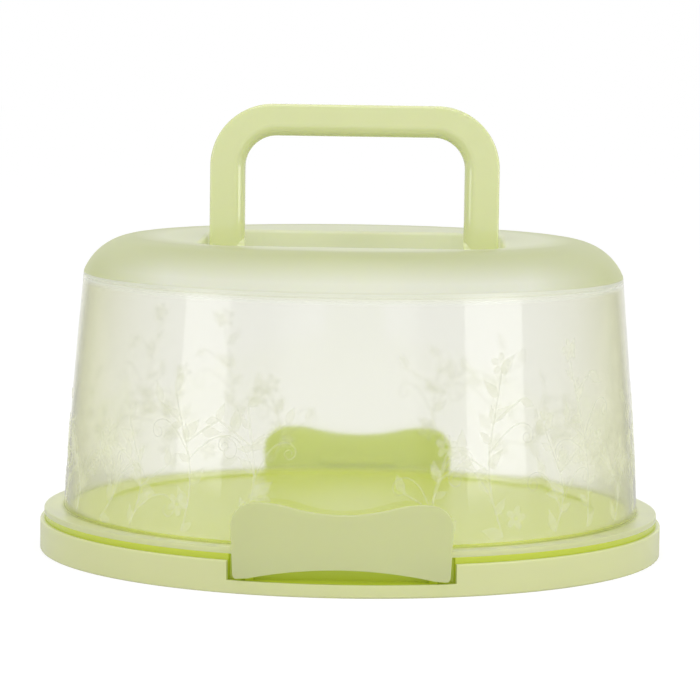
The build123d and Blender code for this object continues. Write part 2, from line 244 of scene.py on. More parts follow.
class VineSettings(PropertyGroup):
    """Sizes of the raised vine that runs round the clear wall."""

    repeats: IntProperty(
        name="Panels", description="How many panels of vine go round the wall",
        default=2, min=1, max=8)
    stems: IntProperty(
        name="Stems", description="How many stems grow in a panel",
        default=13, min=1, max=40)
    gap: FloatProperty(
        name="Gap", description="Bare wall at each end of a panel",
        default=36.0 * MM, min=0.0, max=0.2, subtype="DISTANCE", unit="LENGTH")
    seed: IntProperty(
        name="Seed", description="Which growth of the vine is used",
        default=4, min=0, max=999)
    stem_width: FloatProperty(
        name="Stem Width", description="Width of a stem",
        default=1.1 * MM, min=0.0001, max=0.01, subtype="DISTANCE", unit="LENGTH")
    relief: FloatProperty(
        name="Relief", description="How far the vine stands proud of the wall",
        default=0.35 * MM, min=0.0001, max=0.002, subtype="DISTANCE", unit="LENGTH")
    leaf_length: FloatProperty(
        name="Leaf Length", description="Length of a full leaf",
        default=12.0 * MM, min=0.001, max=0.05, subtype="DISTANCE", unit="LENGTH")
    leaf_spacing: FloatProperty(
        name="Leaf Spacing", description="Distance between leaves along a stem",
        default=10.0 * MM, min=0.002, max=0.1, subtype="DISTANCE", unit="LENGTH")
    foot_radius: FloatProperty(
        name="Foot Radius", description="Radius of the wall at its foot",
        default=143.3 * MM, min=0.01, max=1.0, subtype="DISTANCE", unit="LENGTH")
    shoulder_radius: FloatProperty(
        name="Shoulder Radius", description="Radius of the wall at its shoulder",
        default=134.2 * MM, min=0.01, max=1.0, subtype="DISTANCE", unit="LENGTH")
    wall_bulge: FloatProperty(
        name="Wall Bulge", description="How far the wall bows out half way up",
        default=0.5 * MM, min=0.0, max=0.01, subtype="DISTANCE", unit="LENGTH")
    foot_height: FloatProperty(
        name="Foot Height", description="Height of the wall's foot",
        default=21.0 * MM, min=0.0, max=1.0, subtype="DISTANCE", unit="LENGTH")
    shoulder_height: FloatProperty(
        name="Shoulder Height", description="Height of the wall's shoulder",
        default=138.1 * MM, min=0.0, max=1.0, subtype="DISTANCE", unit="LENGTH")


class StageSettings(PropertyGroup):
    """Camera, floor and lamps."""

    camera_distance: FloatProperty(
        name="Camera Distance", description="Distance of the camera from the carrier's axis",
        default=1.7, min=0.1, max=20.0, subtype="DISTANCE", unit="LENGTH")
    camera_height: FloatProperty(
        name="Camera Height", description="Height of the camera above the floor",
        default=0.2632, min=0.0, max=5.0, subtype="DISTANCE", unit="LENGTH")
    camera_side: FloatProperty(
        name="Camera Side", description="How far round to the right the camera stands",
        default=math.radians(1.42), subtype="ANGLE", unit="ROTATION")
    camera_pitch: FloatProperty(
        name="Camera Pitch", description="How far the camera looks down",
        default=0.0960, subtype="ANGLE", unit="ROTATION")
    camera_yaw: FloatProperty(
        name="Camera Yaw", description="How far the camera is turned off the axis",
        default=0.00074, subtype="ANGLE", unit="ROTATION")
    camera_roll: FloatProperty(
        name="Camera Roll", description="How far the camera is rolled",
        default=0.0143, subtype="ANGLE", unit="ROTATION")
    lens: FloatProperty(
        name="Lens", description="Focal length for a 36 mm sensor",
        default=175.68, min=10.0, max=500.0)
    softbox_power: FloatProperty(
        name="Softbox Power", description="Power that the two side softboxes take their shares of, in watts",
        default=5.2, min=0.0, max=1000.0)
    fill_power: FloatProperty(
        name="Fill Power", description="Power of the panel above the camera, in watts",
        default=6.0, min=0.0, max=1000.0)
    top_power: FloatProperty(
        name="Top Power", description="Power of the overhead panel, in watts",
        default=4.6, min=0.0, max=1000.0)
    world_strength: FloatProperty(
        name="World Strength", description="Strength of the even light from all round",
        default=0.80, min=0.0, max=5.0)
    side_grey: FloatProperty(
        name="Side Grey", description="How bright the two sides of the room are in reflections",
        default=0.60, min=0.0, max=1.0, subtype="FACTOR")


def settings(kind):
    """The scene's settings of one kind."""
    return getattr(bpy.context.scene, kind)


# ---------------------------------------------------------------- node helpers

def fresh_material(name):
    """An empty node material."""
    material = bpy.data.materials.new(name)
    material.use_nodes = True
    material.node_tree.nodes.clear()
    return material


def feed(tree, value, socket):
    """Sets a socket to a plain value, or links another socket to it."""
    if isinstance(value, bpy.types.NodeSocket):
        tree.links.new(value, socket)
    else:
        socket.default_value = value


def calc(tree, operation, first, second=None):
    """A Math node on one or two values, each a number or a socket."""
    node = tree.nodes.new("ShaderNodeMath")
    node.operation = operation
    feed(tree, first, node.inputs[0])
    if second is not None:
        feed(tree, second, node.inputs[1])
    return node.outputs["Value"]


def vector(tree, x=0.0, y=0.0, z=0.0):
    """A vector from three values, each a number or a socket."""
    node = tree.nodes.new("ShaderNodeCombineXYZ")
    for axis, value in zip("XYZ", (x, y, z)):
        feed(tree, value, node.inputs[axis])
    return node.outputs["Vector"]


def split(tree, source):
    """The X, Y and Z of a vector."""
    node = tree.nodes.new("ShaderNodeSeparateXYZ")
    tree.links.new(source, node.inputs["Vector"])
    return node.outputs["X"], node.outputs["Y"], node.outputs["Z"]


def ranged(tree, source, zone, low, high):
    """The source brought from its zone into the range from low to high."""
    span = tree.nodes.new("ShaderNodeMapRange")
    span.inputs["From Min"].default_value = zone[0]
    span.inputs["From Max"].default_value = zone[1]
    span.inputs["To Min"].default_value = low
    span.inputs["To Max"].default_value = high
    tree.links.new(source, span.inputs["Value"])
    return span.outputs["Result"]


def two_tone(tree, source, zone, first, second):
    """A colour that runs from the first to the second as the source crosses its zone.

    Each of the two is a colour or a socket.
    """
    tint = tree.nodes.new("ShaderNodeMix")
    tint.data_type = "RGBA"
    for side, colour in (("A", first), ("B", second)):
        if not isinstance(colour, bpy.types.NodeSocket):
            colour = (*colour, 1.0)
        feed(tree, colour, tint.inputs[side])
    tree.links.new(ranged(tree, source, zone, 0.0, 1.0), tint.inputs["Factor"])
    return tint.outputs["Result"]


def surface_noise(tree, scale, detail):
    """A noise pattern on the piece's own coordinates."""
    place = tree.nodes.new("ShaderNodeTexCoord")
    noise = tree.nodes.new("ShaderNodeTexNoise")
    noise.inputs["Scale"].default_value = scale
    noise.inputs["Detail"].default_value = detail
    noise.inputs["Roughness"].default_value = 0.5
    tree.links.new(place.outputs["Object"], noise.inputs["Vector"])
    return noise.outputs["Fac"]


def uneven(tree, height, strength, depth):
    """A surface normal that follows a height pattern."""
    bump = tree.nodes.new("ShaderNodeBump")
    bump.inputs["Strength"].default_value = strength
    bump.inputs["Distance"].default_value = depth
    tree.links.new(height, bump.inputs["Height"])
    return bump.outputs["Normal"]


def from_axis(tree):
    """Distance from the carrier's upright axis, height, and distance to its left or right."""
    place = tree.nodes.new("ShaderNodeTexCoord")
    x, y, height = split(tree, place.outputs["Object"])
    length = tree.nodes.new("ShaderNodeVectorMath")
    length.operation = "LENGTH"
    tree.links.new(vector(tree, x, y), length.inputs["Vector"])
    return length.outputs["Value"], height, calc(tree, "ABSOLUTE", x)


def any_ray(tree, *kinds):
    """One for light paths of any of these kinds, nought for the others."""
    path = tree.nodes.new("ShaderNodeLightPath")
    share = path.outputs[kinds[0]]
    for kind in kinds[1:]:
        share = calc(tree, "MAXIMUM", share, path.outputs[kind])
    return share


def tinted(tree, kind, colour):
    """A plain shader of one kind and colour."""
    shader = tree.nodes.new(kind)
    shader.inputs["Color"].default_value = (*colour, 1.0)
    return shader.outputs["BSDF"]


def blended(tree, share, first, second):
    """Two shaders mixed by a share, which is a number or a socket."""
    blend = tree.nodes.new("ShaderNodeMixShader")
    feed(tree, share, blend.inputs["Fac"])
    tree.links.new(first, blend.inputs[1])
    tree.links.new(second, blend.inputs[2])
    return blend.outputs["Shader"]


def shown_by(tree, surface):
    """Gives the material its output, fed by a shader."""
    output = tree.nodes.new("ShaderNodeOutputMaterial")
    tree.links.new(surface, output.inputs["Surface"])


# ---------------------------------------------------------------- finishes

def moulded_plastic(name, roughness, colour, polish=0.0, glow=0.0, glow_colour=(0.7, 0.8, 0.3)):
    """Milky injection-moulded plastic: faint clouding, a fine skin and light that sinks in a little.

    The colour is either one colour or a function that builds it in the node tree. The polish is the share
    of a mirror-smooth skin, and the glow the share of the light behind a thin moulding that comes through.
    """
    material = fresh_material(name)
    tree = material.node_tree
    shader = tree.nodes.new("ShaderNodeBsdfPrincipled")
    shader.inputs["IOR"].default_value = PLASTIC_IOR
    shader.inputs["Coat Weight"].default_value = polish
    shader.inputs["Coat Roughness"].default_value = POLISH_ROUGHNESS
    shader.inputs["Subsurface Weight"].default_value = SINK_SHARE
    shader.inputs["Subsurface Radius"].default_value = SINK_REACH
    shader.inputs["Subsurface Scale"].default_value = SINK_DEPTH
    cloud = surface_noise(tree, CLOUD_SCALE, 2.0)
    tint = tree.nodes.new("ShaderNodeVectorMath")
    tint.operation = "SCALE"
    feed(tree, colour(tree) if callable(colour) else colour, tint.inputs["Vector"])
    shade = ranged(tree, cloud, NOISE_ZONE, 1.0 - CLOUD_DEPTH, 1.0 + CLOUD_DEPTH)
    tree.links.new(shade, tint.inputs["Scale"])
    tree.links.new(tint.outputs["Vector"], shader.inputs["Base Color"])
    wear = surface_noise(tree, WEAR_SCALE, 2.0)
    worn = ranged(tree, wear, NOISE_ZONE, roughness - WEAR_DEPTH, roughness + WEAR_DEPTH)
    tree.links.new(worn, shader.inputs["Roughness"])
    skin = surface_noise(tree, SKIN_SCALE, 2.0)
    tree.links.new(uneven(tree, skin, *SKIN_RELIEF), shader.inputs["Normal"])
    surface = shader.outputs["BSDF"]
    if glow > 0.0:
        surface = blended(tree, glow, surface, tinted(tree, "ShaderNodeBsdfTranslucent", glow_colour))
    shown_by(tree, surface)
    return material


def let_light_through(material, tint):
    """Lets part of the room's light pass the moulding, while it still looks solid."""
    tree = material.node_tree
    output = next(node for node in tree.nodes if node.bl_idname == "ShaderNodeOutputMaterial")
    solid = output.inputs["Surface"].links[0].from_socket
    through = tinted(tree, "ShaderNodeBsdfTransparent", tint)
    lighting = any_ray(tree, "Is Shadow Ray", "Is Diffuse Ray")
    tree.links.new(blended(tree, lighting, solid, through), output.inputs["Surface"])
    return material


def clear_plastic(name, finish):
    """Clear moulded plastic with a faint haze: deeper in tint edge on, milky in the flange and shoulder."""
    material = fresh_material(name)
    tree = material.node_tree
    shader = tree.nodes.new("ShaderNodeBsdfPrincipled")
    shader.inputs["IOR"].default_value = PLASTIC_IOR
    radius, height, _ = from_axis(tree)

    flange = ranged(tree, radius, FLANGE_EDGE, WALL_CLARITY, FLANGE_CLARITY)
    shoulder = ranged(tree, height, WALL_SHOULDER, WALL_CLARITY, SHOULDER_CLARITY)
    tree.links.new(calc(tree, "MINIMUM", flange, shoulder), shader.inputs["Transmission Weight"])

    facing = tree.nodes.new("ShaderNodeLayerWeight")
    facing.inputs["Blend"].default_value = 0.5
    edge_on = calc(tree, "POWER", facing.outputs["Facing"], EDGE_TINT_POWER)
    wall = two_tone(tree, edge_on, (0.0, 1.0), finish.clear_tint, finish.clear_edge_tint)
    shouldered = two_tone(tree, height, WALL_SHOULDER, wall, finish.clear_shoulder_tint)
    flanged = two_tone(tree, radius, FLANGE_EDGE, shouldered, finish.clear_flange_tint)
    tree.links.new(flanged, shader.inputs["Base Color"])

    foot = ranged(tree, height, WALL_FOOT, 0.0, FOOT_HAZE)
    brow = ranged(tree, height, WALL_BROW, 0.0, BROW_HAZE)
    haze = ranged(tree, surface_noise(tree, HAZE_SCALE, 3.0), NOISE_ZONE, *HAZE)
    cloudiest = calc(tree, "MAXIMUM", calc(tree, "MAXIMUM", foot, brow), haze)
    tree.links.new(cloudiest, shader.inputs["Roughness"])

    ripple = surface_noise(tree, RIPPLE_SCALE, 1.0)
    tree.links.new(uneven(tree, ripple, *RIPPLE_RELIEF), shader.inputs["Normal"])
    shown_by(tree, shader.outputs["BSDF"])
    return let_light_through(material, [c ** 0.5 for c in finish.clear_tint])


def frosted_relief(name, colour, cover):
    """Frosted skin of the raised vine: it scatters part of the light and lets the rest through."""
    material = fresh_material(name)
    tree = material.node_tree
    shader = tree.nodes.new("ShaderNodeBsdfPrincipled")
    shader.inputs["IOR"].default_value = PLASTIC_IOR
    shader.inputs["Roughness"].default_value = FROST_ROUGHNESS
    shader.inputs["Specular IOR Level"].default_value = FROST_SHINE
    shader.inputs["Alpha"].default_value = cover
    frost = surface_noise(tree, FROST_SCALE, 3.0)
    dull, bright = ([min(c * shade, 1.0) for c in colour] for shade in FROST_SHADES)
    tree.links.new(two_tone(tree, frost, (0.0, 1.0), dull, bright), shader.inputs["Base Color"])
    tree.links.new(uneven(tree, frost, *FROST_RELIEF), shader.inputs["Normal"])
    behind = tinted(tree, "ShaderNodeBsdfTranslucent", colour)
    clear = tinted(tree, "ShaderNodeBsdfTransparent", (1.0, 1.0, 1.0))
    veiled = blended(tree, cover, clear, behind)
    shown_by(tree, blended(tree, FROST_VEIL, shader.outputs["BSDF"], veiled))
    return let_light_through(material, (1.0, 1.0, 1.0))


def dress(node, material):
    """Gives one moulding its finish, in every slot."""
    piece = NODES[node]
    if not piece.data.materials:
        piece.data.materials.append(material)
    for index in range(len(piece.material_slots)):
        piece.material_slots[index].material = material


# ---------------------------------------------------------------- mouldings

class CAKE_OT_tray(Operator):
    """Finish the tray"""

    bl_idname = "cake_carrier.tray"
    bl_label = "Tray"

    def execute(self, context):
        finish = settings("cake_finish")

        def colour(tree):
            radius, height, _ = from_axis(tree)
            # Painted shade: the seat ring under the flange and everything low in the latch pocket take the
            # deeper seat green
            inside = two_tone(tree, radius, SEAT_SHADE_EDGE, finish.tray_floor_colour, finish.tray_seat_colour)
            above = two_tone(tree, height, POCKET_SHADE_TOP, finish.tray_seat_colour, inside)
            return two_tone(tree, radius, TRAY_WALL, above, finish.tray_colour)

        dress("base_tray", moulded_plastic("tray_plastic", roughness=0.26, colour=colour))
        return {"FINISHED"}


class CAKE_OT_cover_wall(Operator):
    """Finish the clear wall"""

    bl_idname = "cake_carrier.cover_wall"
    bl_label = "Clear Wall"

    def execute(self, context):
        dress("cover_wall", clear_plastic("clear_plastic", settings("cake_finish")))
        return {"FINISHED"}


class CAKE_OT_cap(Operator):
    """Finish the cap"""

    bl_idname = "cake_carrier.cap"
    bl_label = "Cap"

    def execute(self, context):
        finish = settings("cake_finish")

        def colour(tree):
            radius, height, aside = from_axis(tree)
            # Painted light: the crown and recess take a paler green than the shoulder
            top = two_tone(tree, radius, CROWN_LIGHT_EDGE, finish.cap_crown_colour, finish.cap_colour)
            # Painted light: the rim is paler towards the front and back and turns to the shoulder green at
            # its left and right ends
            rim = two_tone(tree, aside, RIM_LIGHT_SIDES, finish.cap_rim_colour, finish.cap_colour)
            return two_tone(tree, height, RIM_LIGHT_TOP, top, rim)

        material = moulded_plastic(
            "cap_plastic", roughness=0.34, colour=colour, glow=0.28, glow_colour=(0.80, 0.83, 0.55))
        dress("cover_cap", let_light_through(material, tint=(0.90, 0.92, 0.78)))
        return {"FINISHED"}


class CAKE_OT_handle(Operator):
    """Finish the carrying handle"""

    bl_idname = "cake_carrier.handle"
    bl_label = "Handle"

    def execute(self, context):
        finish = settings("cake_finish")
        dress("handle", moulded_plastic(
            "handle_plastic", roughness=0.12, colour=finish.handle_colour, polish=0.9))
        return {"FINISHED"}


class CAKE_OT_latches(Operator):
    """Finish the two latches"""

    bl_idname = "cake_carrier.latches"
    bl_label = "Latches"

    def execute(self, context):
        finish = settings("cake_finish")

        def colour(tree):
            # Painted glow on the latches' inner faces
            radius, _, _ = from_axis(tree)
            return two_tone(tree, radius, LATCH_GLOW_FACE, finish.latch_inside_colour, finish.latch_colour)

        material = moulded_plastic(
            "latch_plastic", roughness=0.22, colour=colour, glow=0.28, glow_colour=(0.84, 0.95, 0.20))
        let_light_through(material, tint=(0.72, 0.76, 0.40))
        dress("latch_front", material)
        dress("latch_back", material)
        return {"FINISHED"}


# ---------------------------------------------------------------- raised vine

def grown_vine(width, gap, count, seed):
    """Stems, tendrils and flowers of one panel, in millimetres: x runs round the wall, y is the height.

    A tendril is its start x and y, its heading in degrees, its length, and its first and last bend
    in turns per metre. A flower is its x, y and turn in degrees.
    """
    dice = random.Random(seed)
    stems, tendrils, flowers = [], [], []
    pitch = (width - 2.0 * gap) / count
    for number in range(count):
        foot = gap + (number + 0.5) * pitch + dice.uniform(*STEM_SCATTER)
        tall = dice.uniform(*STEM_HEIGHT)
        lean = dice.uniform(*STEM_LEAN)
        sway = dice.uniform(*STEM_SWAY) * dice.choice((-1.0, 1.0))

        def along(share):
            return foot + lean * share + sway * math.sin(SWAY_TURN * share), STEM_FOOT + tall * share

        stems.append([along(step / STEM_STEPS) for step in range(STEM_STEPS + 1)])
        for side in (-1.0, 1.0):
            share = dice.uniform(*TENDRIL_START)
            x, y = along(share)
            curl = dice.uniform(*TENDRIL_LAST_BEND)
            heading = 90.0 - side * dice.uniform(*TENDRIL_SLANT)
            length = dice.uniform(*TENDRIL_LENGTH)
            tendrils.append((x, y, heading, length, -side * dice.uniform(*TENDRIL_FIRST_BEND), -side * curl))
            x, y = along(share + dice.uniform(*TWIG_START))
            reach = dice.uniform(*TWIG_REACH)
            twig = []
            for step in range(TWIG_STEPS + 1):
                part = step / TWIG_STEPS
                climb = TWIG_SLOPE * part - TWIG_DROOP * part ** 2
                twig.append((x + side * reach * part, y + reach * climb))
            stems.append(twig)
        if dice.random() < FLOWER_CHANCE:
            x, y = along(1.0)
            flowers.append((x, y + FLOWER_LIFT, dice.uniform(*FLOWER_TURN)))
        if dice.random() < FLOWER_CHANCE:
            x = foot + dice.uniform(*FLOWER_ASIDE)
            flowers.append((x, dice.uniform(*FLOWER_HEIGHT), dice.uniform(*FLOWER_TURN)))
    return stems, tendrils, flowers


def tendril_points(x, y, heading, length, first_bend, last_bend):
    """A curl whose bend grows along it, in millimetres."""
    angle = math.radians(heading)
    points = [(x, y)]
    for step in range(TENDRIL_STEPS):
        bend = first_bend + (last_bend - first_bend) * (step / TENDRIL_STEPS) ** TENDRIL_TIGHTENING
        angle += 2 * math.pi * bend * length * MM / TENDRIL_STEPS
        x += math.cos(angle) * length / TENDRIL_STEPS
        y += math.sin(angle) * length / TENDRIL_STEPS
        points.append((x, y))
    return points


def vine_guides(stems, tendrils):
    """The stems and tendrils of one panel as flat curves."""
    curve = bpy.data.curves.new("vine_guides", "CURVE")
    curve.dimensions = "3D"
    for stem in stems:
        spline = curve.splines.new("NURBS")
        spline.points.add(len(stem) - 1)
        for point, (x, y) in zip(spline.points, stem):
            point.co = (x * MM, y * MM, 0.0, 1.0)
            point.radius = STEM_THICKNESS
        spline.order_u = 4
        spline.use_endpoint_u = True
        spline.resolution_u = 8
    for tendril in tendrils:
        points = tendril_points(*tendril)
        spline = curve.splines.new("POLY")
        spline.points.add(len(points) - 1)
        for index, (point, (x, y)) in enumerate(zip(spline.points, points)):
            point.co = (x * MM, y * MM, 0.0, 1.0)
            point.radius = TENDRIL_THICKNESS - TENDRIL_THINNING * index / len(points)
    guides = bpy.data.objects.new("vine_guides", curve)
    bpy.context.scene.collection.objects.link(guides)
    return guides


def flower_mesh():
    """Five domed petals in a ring, one unit across."""
    mesh = bpy.data.meshes.new("flower_shape")
    points, faces = [], []
    petals, rim = 5, 8
    petal_centre, half_length, half_width, sunk = 0.28, 0.22, 0.15, -0.3
    for petal in range(petals):
        turn = 2 * math.pi * petal / petals
        centre = len(points)
        points.append((petal_centre * math.cos(turn), petal_centre * math.sin(turn), 1.0))
        for step in range(rim):
            angle = 2 * math.pi * step / rim
            u = petal_centre + half_length * math.cos(angle)
            v = half_width * math.sin(angle)
            x = u * math.cos(turn) - v * math.sin(turn)
            y = u * math.sin(turn) + v * math.cos(turn)
            points.append((x, y, sunk))
        for step in range(rim):
            faces.append((centre, centre + 1 + step, centre + 1 + (step + 1) % rim))
        faces.append(tuple(centre + 1 + step for step in reversed(range(rim))))
    mesh.from_pydata(points, [], faces)
    mesh.update()
    return mesh


def leaf_mesh():
    """Pointed leaf, one unit long, with a raised midrib."""
    mesh = bpy.data.meshes.new("leaf_shape")
    half = ((0.0, 0.0), (0.12, 0.12), (0.3, 0.22), (0.5, 0.24), (0.72, 0.16), (0.88, 0.07), (1.0, 0.0))
    sunk, swept_back = -0.3, 0.05
    points, faces = [(x, 0.0, 1.0 if 0.0 < x < 1.0 else 0.2) for x, _ in half], []
    inner = len(half)
    left = {}
    right = {}
    for index in range(1, inner - 1):
        x, width = half[index]
        left[index] = len(points)
        points.append((x - swept_back, width, sunk))
        right[index] = len(points)
        points.append((x - swept_back, -width, sunk))
    base = len(points)
    points.append((0.0, 0.0, sunk))
    tip = len(points)
    points.append((1.0, 0.0, sunk))
    for index in range(inner - 1):
        a, b = index, index + 1
        la, lb = left.get(a, base), left.get(b, tip)
        ra, rb = right.get(a, base), right.get(b, tip)
        faces.append((a, b, lb, la))
        faces.append((b, a, ra, rb))
    there = [right[index] for index in range(1, inner - 1)]
    back = [left[index] for index in range(inner - 2, 0, -1)]
    faces.append(tuple(reversed([base, *there, tip, *back])))
    mesh.from_pydata(points, [], faces)
    mesh.update()
    return mesh


def swept_stems(tree, given, guides, thickness):
    """Stems and tendrils: a low half-round swept along the guides."""
    link = tree.links.new
    fine = tree.nodes.new("GeometryNodeResampleCurve")
    fine.mode = "LENGTH"
    fine.inputs["Length"].default_value = STEM_STEP
    link(guides, fine.inputs["Curve"])
    bead = tree.nodes.new("GeometryNodeCurvePrimitiveCircle")
    bead.mode = "RADIUS"
    bead.inputs["Resolution"].default_value = STEM_SIDES
    bead.inputs["Radius"].default_value = 1.0
    flatten = tree.nodes.new("GeometryNodeTransform")
    half_width = calc(tree, "MULTIPLY", given.outputs["Stem Width"], 0.5)
    link(bead.outputs["Curve"], flatten.inputs["Geometry"])
    link(vector(tree, half_width, given.outputs["Relief"], 1.0), flatten.inputs["Scale"])
    sweep = tree.nodes.new("GeometryNodeCurveToMesh")
    sweep.inputs["Fill Caps"].default_value = True
    link(fine.outputs["Curve"], sweep.inputs["Curve"])
    link(flatten.outputs["Geometry"], sweep.inputs["Profile Curve"])
    link(thickness, sweep.inputs["Scale"])
    return sweep.outputs["Mesh"]


def random_value(tree, span, seed):
    """A random number within a span, for each point."""
    node = tree.nodes.new("FunctionNodeRandomValue")
    node.data_type = "FLOAT"
    node.inputs[2].default_value = span[0]
    node.inputs[3].default_value = span[1]
    node.inputs["Seed"].default_value = seed
    return node.outputs[1]


def set_leaves(tree, given, guides, thickness, leaf):
    """Leaves at every spacing along the stems, on alternate sides, each with its own size and swing."""
    link = tree.links.new
    stems_only = tree.nodes.new("GeometryNodeSeparateGeometry")
    stems_only.domain = "CURVE"
    link(guides, stems_only.inputs["Geometry"])
    link(calc(tree, "GREATER_THAN", thickness, LEAFY_THICKNESS), stems_only.inputs["Selection"])
    stations = tree.nodes.new("GeometryNodeCurveToPoints")
    stations.mode = "LENGTH"
    link(stems_only.outputs["Selection"], stations.inputs["Curve"])
    link(given.outputs["Leaf Spacing"], stations.inputs["Length"])
    kept = tree.nodes.new("GeometryNodeStoreNamedAttribute")
    kept.data_type = "FLOAT_VECTOR"
    kept.domain = "POINT"
    kept.inputs["Name"].default_value = "heading"
    link(stations.outputs["Points"], kept.inputs["Geometry"])
    link(stations.outputs["Tangent"], kept.inputs["Value"])
    heading = tree.nodes.new("GeometryNodeInputNamedAttribute")
    heading.data_type = "FLOAT_VECTOR"
    heading.inputs["Name"].default_value = "heading"
    along = tree.nodes.new("FunctionNodeAxesToRotation")
    along.primary_axis = "X"
    along.secondary_axis = "Z"
    link(heading.outputs["Attribute"], along.inputs["Primary Axis"])
    along.inputs["Secondary Axis"].default_value = (0.0, 0.0, 1.0)
    index = tree.nodes.new("GeometryNodeInputIndex")
    odd = calc(tree, "MODULO", index.outputs["Index"], 2.0)
    side = calc(tree, "SUBTRACT", calc(tree, "MULTIPLY", odd, 2.0), 1.0)
    swing = calc(tree, "MULTIPLY", side, random_value(tree, LEAF_SWING, LEAF_SWING_SEED))
    turned = tree.nodes.new("FunctionNodeEulerToRotation")
    link(vector(tree, z=swing), turned.inputs["Euler"])
    rotate = tree.nodes.new("FunctionNodeRotateRotation")
    rotate.rotation_space = "LOCAL"
    link(along.outputs["Rotation"], rotate.inputs["Rotation"])
    link(turned.outputs["Rotation"], rotate.inputs["Rotate By"])
    share = random_value(tree, LEAF_SIZES, LEAF_SIZES_SEED)
    length = calc(tree, "MULTIPLY", given.outputs["Leaf Length"], share)
    leaf_source = tree.nodes.new("GeometryNodeObjectInfo")
    leaf_source.inputs["Object"].default_value = leaf
    leaves = tree.nodes.new("GeometryNodeInstanceOnPoints")
    link(kept.outputs["Geometry"], leaves.inputs["Points"])
    link(leaf_source.outputs["Geometry"], leaves.inputs["Instance"])
    link(rotate.outputs["Rotation"], leaves.inputs["Rotation"])
    link(vector(tree, length, length, given.outputs["Relief"]), leaves.inputs["Scale"])
    return leaves.outputs["Instances"]


def set_flowers(tree, given, flower, places):
    """A flower at each of its set places."""
    link = tree.links.new
    flower_source = tree.nodes.new("GeometryNodeObjectInfo")
    flower_source.inputs["Object"].default_value = flower
    across = given.outputs["Leaf Length"]
    size = vector(tree, across, across, given.outputs["Relief"])
    flowers = []
    for x, y, spin in places:
        placed = tree.nodes.new("GeometryNodeTransform")
        placed.inputs["Translation"].default_value = (x * MM, y * MM, 0.0)
        placed.inputs["Rotation"].default_value = (0.0, 0.0, math.radians(spin))
        link(flower_source.outputs["Geometry"], placed.inputs["Geometry"])
        link(size, placed.inputs["Scale"])
        flowers.append(placed.outputs["Geometry"])
    return flowers


def repeated(tree, given, panel):
    """The panel set out along a line as long as the wall is round."""
    link = tree.links.new
    around = calc(tree, "MULTIPLY", given.outputs["Foot Radius"], 2 * math.pi)
    pitch = calc(tree, "DIVIDE", around, given.outputs["Repeats"])
    row = tree.nodes.new("GeometryNodeMeshLine")
    row.mode = "OFFSET"
    link(given.outputs["Repeats"], row.inputs["Count"])
    link(vector(tree, pitch), row.inputs["Offset"])
    copies = tree.nodes.new("GeometryNodeInstanceOnPoints")
    link(row.outputs["Mesh"], copies.inputs["Points"])
    link(panel, copies.inputs["Instance"])
    real = tree.nodes.new("GeometryNodeRealizeInstances")
    link(copies.outputs["Instances"], real.inputs["Geometry"])
    return real.outputs["Geometry"]


def wrapped_round(tree, given, flat, place):
    """The flat vine wrapped on the tapered, slightly bowed wall."""
    x, y, z = place
    foot, shoulder = given.outputs["Foot Radius"], given.outputs["Shoulder Radius"]
    angle = calc(tree, "DIVIDE", x, foot)
    rise = calc(tree, "SUBTRACT", y, given.outputs["Foot Height"])
    tall = calc(tree, "SUBTRACT", given.outputs["Shoulder Height"], given.outputs["Foot Height"])
    share = calc(tree, "DIVIDE", rise, tall)
    taper = calc(tree, "MULTIPLY", share, calc(tree, "SUBTRACT", shoulder, foot))
    straight = calc(tree, "ADD", foot, taper)
    off_middle = calc(tree, "SUBTRACT", calc(tree, "MULTIPLY", share, 2.0), 1.0)
    bow = calc(tree, "SUBTRACT", 1.0, calc(tree, "MULTIPLY", off_middle, off_middle))
    bulge = calc(tree, "MULTIPLY", bow, given.outputs["Wall Bulge"])
    out = calc(tree, "ADD", calc(tree, "ADD", straight, bulge), z)
    right = calc(tree, "MULTIPLY", out, calc(tree, "SINE", angle))
    front = calc(tree, "MULTIPLY", calc(tree, "MULTIPLY", out, calc(tree, "COSINE", angle)), -1.0)
    wrap = tree.nodes.new("GeometryNodeSetPosition")
    tree.links.new(flat, wrap.inputs["Geometry"])
    tree.links.new(vector(tree, right, front, y), wrap.inputs["Position"])
    return wrap.outputs["Geometry"]


